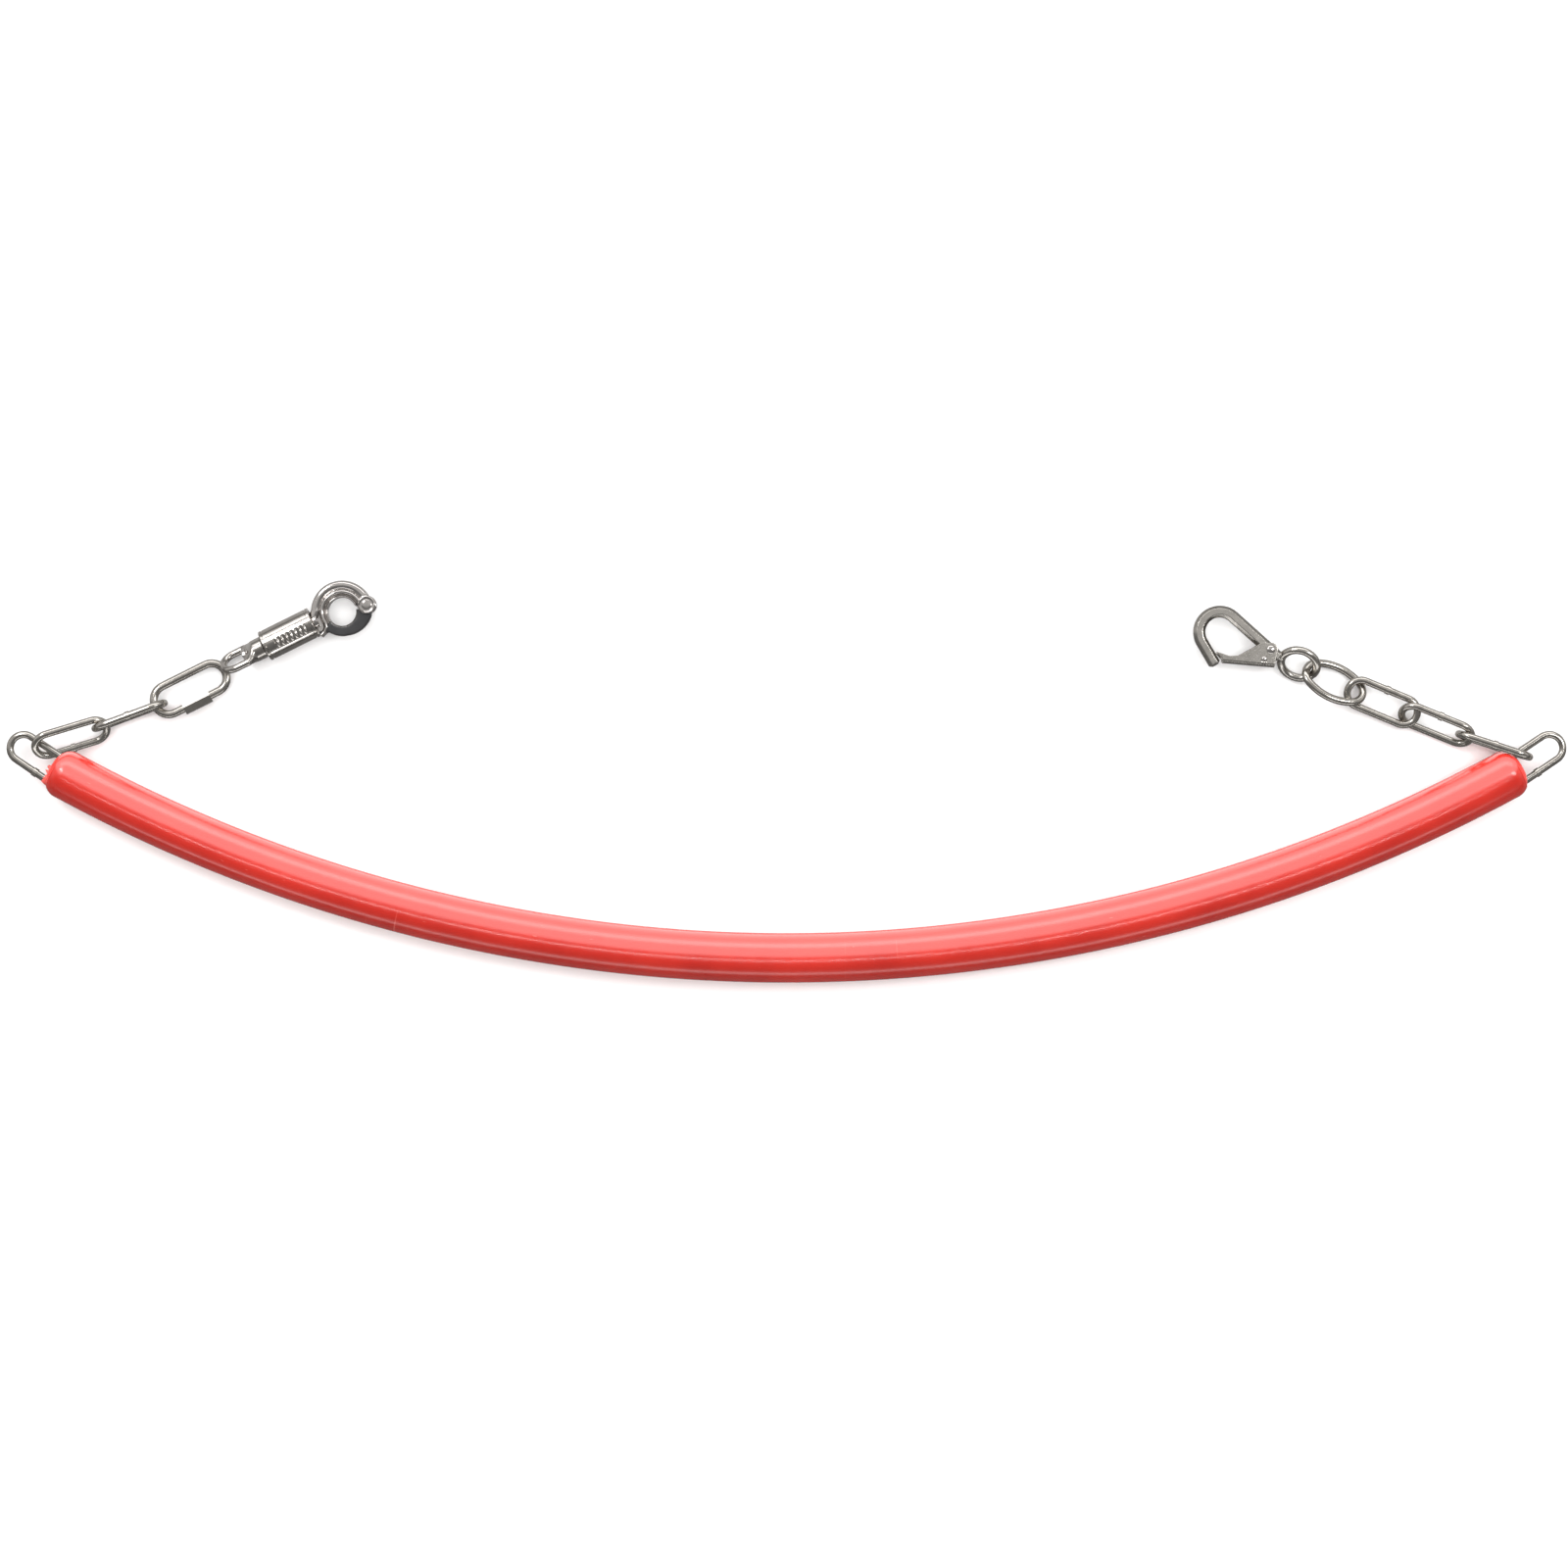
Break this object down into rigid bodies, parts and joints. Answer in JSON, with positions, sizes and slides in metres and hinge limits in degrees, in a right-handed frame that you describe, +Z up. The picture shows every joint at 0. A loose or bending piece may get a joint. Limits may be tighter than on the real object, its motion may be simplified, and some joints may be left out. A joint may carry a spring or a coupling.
{
  "type": "sleeved barrier chain",
  "caption": "Welded steel chain in a flexible red hose, with a quick-release panic snap at one end and a spring hook at the other.",
  "frame": {"origin": "on the floor under the middle of the whole laid-out chain", "axes": "+X along the longest extent towards the snap hook's end, +Y towards the open side of the bow, +Z up off the floor"},
  "size_m": [0.9456, 0.244, 0.03],
  "materials": {
    "red_hose": "glossy soft PVC hose",
    "red_plug": "moulded PVC plug",
    "dark_jaw": "dark phosphated steel",
    "nickel": "polished nickel plate",
    "stainless": "polished stainless wire"
  },
  "bodies": {
    "hose": {"hose": "red_hose", "left_end_plug": "red_plug", "right_end_plug": "red_plug", "left_end_link": "stainless", "right_end_link": "stainless", "inner_link_01": "stainless", "inner_link_02": "stainless", "inner_link_03": "stainless", "inner_link_04": "stainless", "inner_link_05": "stainless", "inner_link_06": "stainless", "inner_link_07": "stainless", "inner_link_08": "stainless", "inner_link_09": "stainless", "inner_link_10": "stainless", "inner_link_11": "stainless", "inner_link_12": "stainless", "inner_link_13": "stainless", "inner_link_14": "stainless", "inner_link_15": "stainless", "inner_link_16": "stainless", "inner_link_17": "stainless", "inner_link_18": "stainless", "inner_link_19": "stainless", "inner_link_20": "stainless", "inner_link_21": "stainless", "inner_link_22": "stainless", "inner_link_23": "stainless"},
    "left_link_2": {"left_link_2": "stainless"},
    "left_link_3": {"left_link_3": "stainless"},
    "quick_link": {"quick_link": "stainless"},
    "quick_link_nut": {"quick_link_nut": "stainless"},
    "panic_snap_eye": {"panic_snap_eye": "nickel", "panic_snap_boss": "nickel"},
    "panic_snap_body": {"panic_snap_body": "nickel", "panic_snap_retainer": "stainless", "panic_snap_spring": "stainless", "panic_snap_jaw_pin": "stainless"},
    "panic_snap_collar": {"panic_snap_collar": "nickel", "panic_snap_collar_ring": "stainless"},
    "panic_snap_jaw": {"panic_snap_jaw": "dark_jaw"},
    "right_link_2": {"right_link_2": "stainless"},
    "right_link_4": {"right_link_4": "stainless"},
    "right_link_3": {"right_link_3": "stainless"},
    "oval_ring": {"oval_ring": "stainless"},
    "snap_hook": {"snap_hook_body": "stainless", "snap_hook_gate_rivet": "stainless"},
    "snap_hook_gate": {"snap_hook_gate": "stainless", "snap_hook_spring_pin": "stainless", "snap_hook_gate_spring": "stainless"}
  },
  "joints": [
    {"name": "left_link_2_swing", "type": "hinge", "parent": "hose", "child": "left_link_2", "pos_m": [-0.44715, 0.02235, 0.01577], "axis": [0.3525, -0.6055, 0.7135], "range_deg": [0, 120]},
    {"name": "left_link_3_swing", "type": "hinge", "parent": "left_link_2", "child": "left_link_3", "pos_m": [-0.42105, 0.03065, 0.00993], "axis": [-0.3525, 0.6055, -0.7135], "range_deg": [-45, 45]},
    {"name": "quick_link_swing", "type": "hinge", "parent": "left_link_3", "child": "quick_link", "pos_m": [-0.37568, 0.04977, 0.00732], "axis": [0.085, 0.0632, 0.9944], "range_deg": [-45, 45]},
    {"name": "panic_snap_swing", "type": "hinge", "parent": "quick_link", "child": "panic_snap_eye", "pos_m": [-0.35002, 0.06293, 0.00428], "axis": [-0.085, -0.0632, -0.9944], "range_deg": [-45, 45]},
    {"name": "right_link_2_swing", "type": "hinge", "parent": "hose", "child": "right_link_2", "pos_m": [0.44823, 0.01548, 0.01453], "axis": [0, 0, -1], "range_deg": [0, 110]},
    {"name": "right_link_4_swing", "type": "hinge", "parent": "right_link_2", "child": "right_link_4", "pos_m": [0.40787, 0.02907, 0.01024], "axis": [-0.3263, -0.6965, 0.6391], "range_deg": [-45, 45]},
    {"name": "right_link_3_swing", "type": "hinge", "parent": "right_link_4", "child": "right_link_3", "pos_m": [0.37519, 0.04258, 0.0083], "axis": [0.1248, 0.1805, -0.9756], "range_deg": [-45, 45]},
    {"name": "oval_ring_swing", "type": "hinge", "parent": "right_link_3", "child": "oval_ring", "pos_m": [0.34941, 0.05342, 0.007], "axis": [-0.1248, -0.1805, 0.9756], "range_deg": [-45, 45]},
    {"name": "snap_hook_swing", "type": "hinge", "parent": "oval_ring", "child": "snap_hook", "pos_m": [0.32366, 0.06428, 0.00895], "axis": [-0.2568, -0.4395, -0.8608], "range_deg": [-45, 45]},
    {"name": "quick_nut_slide", "type": "slide", "parent": "quick_link", "child": "quick_link_nut", "axis": [-0.8849, -0.4538, 0.1045], "range_m": [0, 0.0052]},
    {"name": "panic_snap_swivel", "type": "hinge", "parent": "panic_snap_eye", "child": "panic_snap_body", "pos_m": [-0.32161, 0.07972, 0.01045], "axis": [0.8957, 0.4446, 0], "continuous": true},
    {"name": "panic_collar_slide", "type": "slide", "parent": "panic_snap_body", "child": "panic_snap_collar", "axis": [-0.8957, -0.4446, 0], "range_m": [0, 0.007], "stiffness_N_per_m": 900, "springref_m": -0.003, "deforming": ["panic_snap_spring"]},
    {"name": "panic_jaw_hinge", "type": "hinge", "parent": "panic_snap_body", "child": "panic_snap_jaw", "pos_m": [-0.25471, 0.10714, 0.01045], "axis": [0, 0, 1], "range_deg": [0, 80]},
    {"name": "snap_gate_hinge", "type": "hinge", "parent": "snap_hook", "child": "snap_hook_gate", "pos_m": [0.2936, 0.0799, 0.0105], "axis": [0, 0, -1], "range_deg": [0, 30], "stiffness_Nm_per_rad": 0.05, "springref_deg": -20.05}
  ],
  "couplings": [
    {"joint": "panic_jaw_hinge", "follows": "panic_collar_slide", "rad_per_m": 199.45}
  ]
}
